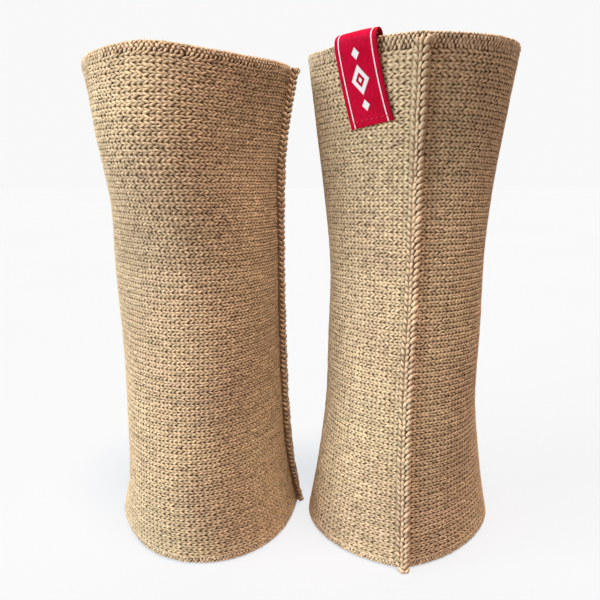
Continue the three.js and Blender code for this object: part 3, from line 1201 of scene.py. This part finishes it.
def ridge_strands(warmer, name, top):
    """The three columns of strands and the tuft, as one piece."""
    run = top - RIDGE_FOOT - RIDGE_ENDS
    rows = int(run / RIDGE_STEP)
    sets, tones, lifts = [], [], []
    for column_sizes in RIDGE_COLUMNS:
        body = drawn_out(**column_sizes)
        middle = body.mean(axis=0)
        for row in range(rows):
            grow, spin = random.normal(1, RIDGE_SPREAD), random.normal(0, RIDGE_SPREAD)
            side, out, up = ((body - middle) * grow).T
            side, up = turned(side, up, spin)
            moved = np.stack([side, out, up], axis=1) + middle
            moved += random.normal(0, RIDGE_PLACE_SPREAD, 3)
            moved[:, 2] += RIDGE_FOOT + FIRST_STRAND + row * run / rows
            sets.append(moved)
            tones.append(random.normal(1, RIDGE_SPREAD))
            # A strand's side near the cloth is painted in shade.
            lifts.append(lit(body[:, 1], 0.9, 1.0, 0.15))
    for strand in RIDGE_TUFT:
        body = drawn_out(**strand)
        sets.append(body)
        tones.append(random.normal(0.95, 0.05))
        # The tuft's strands too are painted in shade near the cloth.
        lifts.append(lit(body[:, 1], 0.7, 1.0, 0.15))
    made = copies(ball, len(sets), 0, 1, 0)
    points = np.concatenate(sets)
    points[:, 2] = np.maximum(points[:, 2], FLOOR_CLEAR)
    write_points(made.data, on_ridge(warmer, points))
    which = np.arange(len(points)) // len(ball_points)
    finish_strands(made, name, np.array(tones)[which], np.concatenate(lifts), which, RIDGE_WOOL)
    return made


def ridge_core(warmer, name, top):
    """The bound-off cloth inside the ridge."""
    heights = np.linspace(RIDGE_FOOT + 0.5 * MM, top - 0.8 * MM, CORE_RINGS)
    shape = np.array([[p["side"], p["out"]] for p in RIDGE_CORE])
    levels = np.repeat(heights, len(shape))[:, None]
    grid = np.concatenate([np.tile(shape, (CORE_RINGS, 1)), levels], axis=1)
    rings = on_ridge(warmer, grid).reshape(CORE_RINGS, len(shape), 3)
    return body_of_rings(name, rings, RIDGE_WOOL, CORE_LIFT)


for warmer, top in ((LEFT_WARMER, HEIGHT + 1.4 * MM), (RIGHT_WARMER, HEIGHT - 1.8 * MM)):
    name = f"{warmer['name']}_warmer_ridge_strands"
    strands = ridge_strands(warmer, name, top)
    warmer["ridge"] = join(name, [strands, ridge_core(warmer, name + "_core", top)])

# %% [markdown]
# On the left warmer a small loop of spare yarn is left standing at the top of the ridge. It is a
# torus, stretched upright, with its foot in the seam.

# %% Yarn loop on the left warmer
YARN_LOOP_OUT = 2.4 * MM
YARN_LOOP_HEIGHT = HEIGHT - 0.4 * MM
YARN_LOOP_STRETCH = 1.35
yarn_loop, ring = add_shape(
    bpy.ops.mesh.primitive_torus_add,
    "left_warmer_yarn_loop",
    "strand",
    major_segments=20,
    minor_segments=7,
    major_radius=0.95 * MM,
    minor_radius=0.32 * MM,
    generate_uvs=True,
)
x, y, z = ring.T
ring = np.stack([z, YARN_LOOP_OUT + x, YARN_LOOP_HEIGHT + YARN_LOOP_STRETCH * y], axis=1)
write_points(yarn_loop.data, on_ridge(LEFT_WARMER, ring))
one = np.ones(len(ring))
finish_strands(yarn_loop, "left_warmer_yarn_loop", one, one, np.zeros(len(ring), int), RIDGE_WOOL)
bake_cells(yarn_loop)
face_outwards(yarn_loop)
tell(yarn_loop)

# %% [markdown]
# ## The woven label
#
# A narrow red ribbon is folded over the rim of the right warmer, with a leg on each side of the
# cloth, and sewn through near its foot. It is woven in a fine twill that shines a little, with
# white threads floated over it for a plain pattern of lozenges between two lines. The pattern is
# worked out from the ribbon's UV map, which counts millimetres, so no image is needed. A dropped
# cloth would never fold just here, so the ribbon is a flat grid bent along its line, with a wall
# from Solidify and a soft edge from Bevel.

# %% Line of the label
LABEL_WIDTH = 19 * MM
LABEL_LEG = 31.5 * MM
LABEL_TURN = math.radians(-31.5)
LABEL_SKEW = 4 * MM
LABEL_FOOT_RISE = 0.14
LABEL_THICK = 0.5 * MM
LABEL_LINE = table(
    "out up",
    (0.85, -31.5),
    (0.85, -24),
    (1.1, -16),
    (1.6, -8),
    (2, -1.5),
    (1.5, 1.2),
    (-0.2, 2.6),
    (-2.4, 2.5),
    (-4, 0.9),
    (-4.4, -2),
    (-4.1, -9),
    (-3.5, -18),
    (-3.4, -31.5),
)
label_run = 0.0
for before, after in zip([LABEL_LINE[0]] + LABEL_LINE, LABEL_LINE):
    label_run += math.hypot(after["out"] - before["out"], after["up"] - before["up"])
    after["run"] = label_run
label_out = column(LABEL_LINE, "out", by="run")
label_up = column(LABEL_LINE, "up", by="run")
print("the label's ribbon is", round(label_run / MM, 1), "mm long")

# %% Red twill
red_twill, tree, shader = new_material("red_woven_twill")
place = node(tree, "TexCoord").outputs["Object"]
ribbon = node(tree, "UVMap", {"uv_map": "ribbon"}).outputs["UV"]
over, down, _ = node(tree, "SeparateXYZ", Vector=ribbon).outputs


def threads_of(direction, scale, distortion):
    """Bands of thread along the ribbon's own places."""
    settings = {"bands_direction": direction}
    made = node(tree, "TexWave", settings, Vector=ribbon, Scale=scale, Distortion=distortion)
    return made.outputs["Fac"]


def lozenge(middle, wide, tall):
    """One where the ribbon's place lies in a lozenge, in millimetres, else nothing."""
    across = maths("DIVIDE", maths("ABSOLUTE", over), wide / 2)
    along = maths("DIVIDE", maths("ABSOLUTE", minus(down, middle)), tall / 2)
    return times(minus(1.0, plus(across, along)), 9.0, clamp=True)


def thread_line(middle, wide):
    """One along a thin line of floated thread, on both halves of the ribbon."""
    off = maths("ABSOLUTE", minus(maths("ABSOLUTE", over), middle))
    return times(minus(wide / 2, off), 12.0, clamp=True)


weave = times(plus(threads_of("DIAGONAL", 1.1, 0.4), threads_of("X", 0.9, 0.3)), 0.5)
shade = ranged(times(plus(noise(place, 140.0, 3.0), noise(place, 800.0)), 0.5), 0.35, 0.65)
red = mixed(shade, (0.42, 0.0, 0.017), (0.60, 0.002, 0.04))
red = mixed(weave, mixed(0.35, red, (0.18, 0.0, 0.012)), red)
white = thread_line(7.4, 0.55)
for sizes in table("middle wide tall", (17.5, 8.4, 11.5), (8.2, 3.6, 4.6), (26.8, 3.6, 4.6)):
    white = maths("MAXIMUM", white, lozenge(**sizes))
white = minus(white, lozenge(17.5, 4.4, 6.0), clamp=True)
white = maths("MAXIMUM", white, lozenge(17.5, 1.7, 2.4))
dress(
    shader,
    Base_Color=mixed(white, red, mixed(weave, (0.62, 0.58, 0.60), (0.88, 0.86, 0.87))),
    Normal=bumped(plus(weave, times(white, 0.8)), 0.5, 0.15 * MM),
    Roughness=0.55,
    Specular_IOR_Level=0.06,
)
print("red twill made")


# %% Fold the label over the rim
LABEL_NUDGE = 0.2 * MM
RIPPLE = 0.12 * MM
RIPPLE_ACROSS = 2.6 * MM
RIPPLE_ALONG = 9 * MM
PATTERN_RISE = 3


def on_label(across, run, lift):
    """Places points on the label: across it, along it from its outer foot, and off its face."""
    run = np.clip(run, 0, label_run)
    out, up = label_out(run), label_up(run)
    steps = [read(run + LABEL_NUDGE) - read(run - LABEL_NUDGE) for read in (label_out, label_up)]
    ahead = np.stack(steps, axis=1)
    ahead /= np.linalg.norm(ahead, axis=1, keepdims=True)
    out, up = out + ahead[:, 1] * lift, up - ahead[:, 0] * lift
    down = np.maximum(-up, 0) / LABEL_LEG
    height = HEIGHT + up + down * across * LABEL_FOOT_RISE
    turn = LABEL_TURN + (across + LABEL_SKEW * down**2) / radius_at(height)
    out = out + dents(RIGHT_WARMER, height, turn)
    return wall(RIGHT_WARMER, height, turn) + outward(RIGHT_WARMER, height, turn) * out[:, None]


label, across, run = flat_grid("right_warmer_woven_label", "ribbon", 14, 90)
across, run = (across - 0.5) * LABEL_WIDTH, run * label_run
ripple = RIPPLE * np.sin(across / RIPPLE_ACROSS) * np.sin(run / RIPPLE_ALONG) ** 2
write_points(label.data, on_label(across, run, ripple))
uv = (read_uv(label.data, "ribbon") - (0.5, 0)) * (LABEL_WIDTH / MM, label_run / MM)
uv[:, 1] = LABEL_LEG / MM + PATTERN_RISE - uv[:, 1]
write_uv(label.data, "ribbon", uv)
label.data.flip_normals()
label.data.materials.append(red_twill)
ribbon_wall = label.modifiers.new("wall", "SOLIDIFY")
ribbon_wall.thickness = LABEL_THICK
ribbon_wall.offset = 0
rounded = label.modifiers.new("soft_edge", "BEVEL")
rounded.width = 0.12 * MM
rounded.segments = 1
rounded.limit_method = "ANGLE"
apply_modifiers(label)
smooth(label.data)
select_only(label)
bpy.ops.object.shade_smooth_by_angle(angle=math.radians(50))
tell(label)

# %% [markdown]
# Near its foot the label is sewn through with red thread. Each stitch is the round strand again,
# drawn thin, and the same row is made on the inner leg.

# %% Stitches through the label
SEAM_STITCHES = 8
SEAM_HEIGHT = 2.2 * MM
SEAM_WIDTH = LABEL_WIDTH / MM - 1
STITCH_HALF = 0.95
red_thread, tree, shader = new_material("red_sewing_thread")
lay = noise(node(tree, "TexCoord").outputs["Object"], 1500.0)
dress(
    shader,
    Base_Color=mixed(lay, (0.50, 0.0, 0.02), (0.74, 0.01, 0.05)),
    Normal=bumped(lay, 0.4, 0.1 * MM),
    Roughness=0.45,
)
sets = []
for run_at in (SEAM_HEIGHT, label_run - SEAM_HEIGHT):
    for n in range(SEAM_STITCHES):
        middle = ((n + 0.5) / SEAM_STITCHES - 0.5) * SEAM_WIDTH
        slope = random.normal(0.1, 0.08)
        start, end = (middle - STITCH_HALF, 0.1, -slope), (middle + STITCH_HALF, 0.1, slope)
        across, out, along = drawn_out(start, (middle, 0.75, 0), end, 0.2).T
        sets.append(on_label(across, along + run_at, out + LABEL_THICK / 2 - 0.1 * MM))
seam = copies(ball, len(sets), 0, 1, 0)
write_points(seam.data, np.concatenate(sets))
seam.name = seam.data.name = "right_warmer_label_stitches"
seam.data.materials.clear()
seam.data.materials.append(red_thread)
smooth(seam.data)
face_outwards(seam)
tell(seam)

# %% [markdown]
# ## Hand the pieces over
#
# Everything rides on the one body, and each piece that stands for a solid hides it. The shapes
# that were only copied from are taken away.

# %% Ride and replace
for pattern in (stitch, edge_loop, ball):
    bpy.data.objects.remove(pattern)


def hand_over(piece, slot, *nodes):
    """A piece rides on the one body and stands for its solid, if it has one; slot is not used."""
    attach(piece, "root")
    if nodes:
        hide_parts(*nodes)


for half in HALVES:
    hand_over(half["cloth"], "camel_knit", half["node"] + "_panel")
    hand_over(half["stitches"], "camel_knit")
    hand_over(half["top"], "camel_edging", half["node"] + "_top_edge")
    hand_over(half["hem"], "camel_edging", half["node"] + "_hem_edge")
for warmer in (LEFT_WARMER, RIGHT_WARMER):
    hand_over(warmer["ridge"], "camel_seam", f"{warmer['name']}_warmer_ridge_seam")
    hand_over(warmer["join"], "camel_knit")
hand_over(yarn_loop, "camel_seam")
hand_over(label, "red_woven_label", "right_warmer_label")
hand_over(seam, "red_woven_label")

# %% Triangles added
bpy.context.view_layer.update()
pieces = [o for o in bpy.data.objects if "warmer" in o.name and o.name not in frame["nodes"]]
print("triangles added:", sum(len(face.vertices) - 2 for o in pieces for face in o.data.polygons))
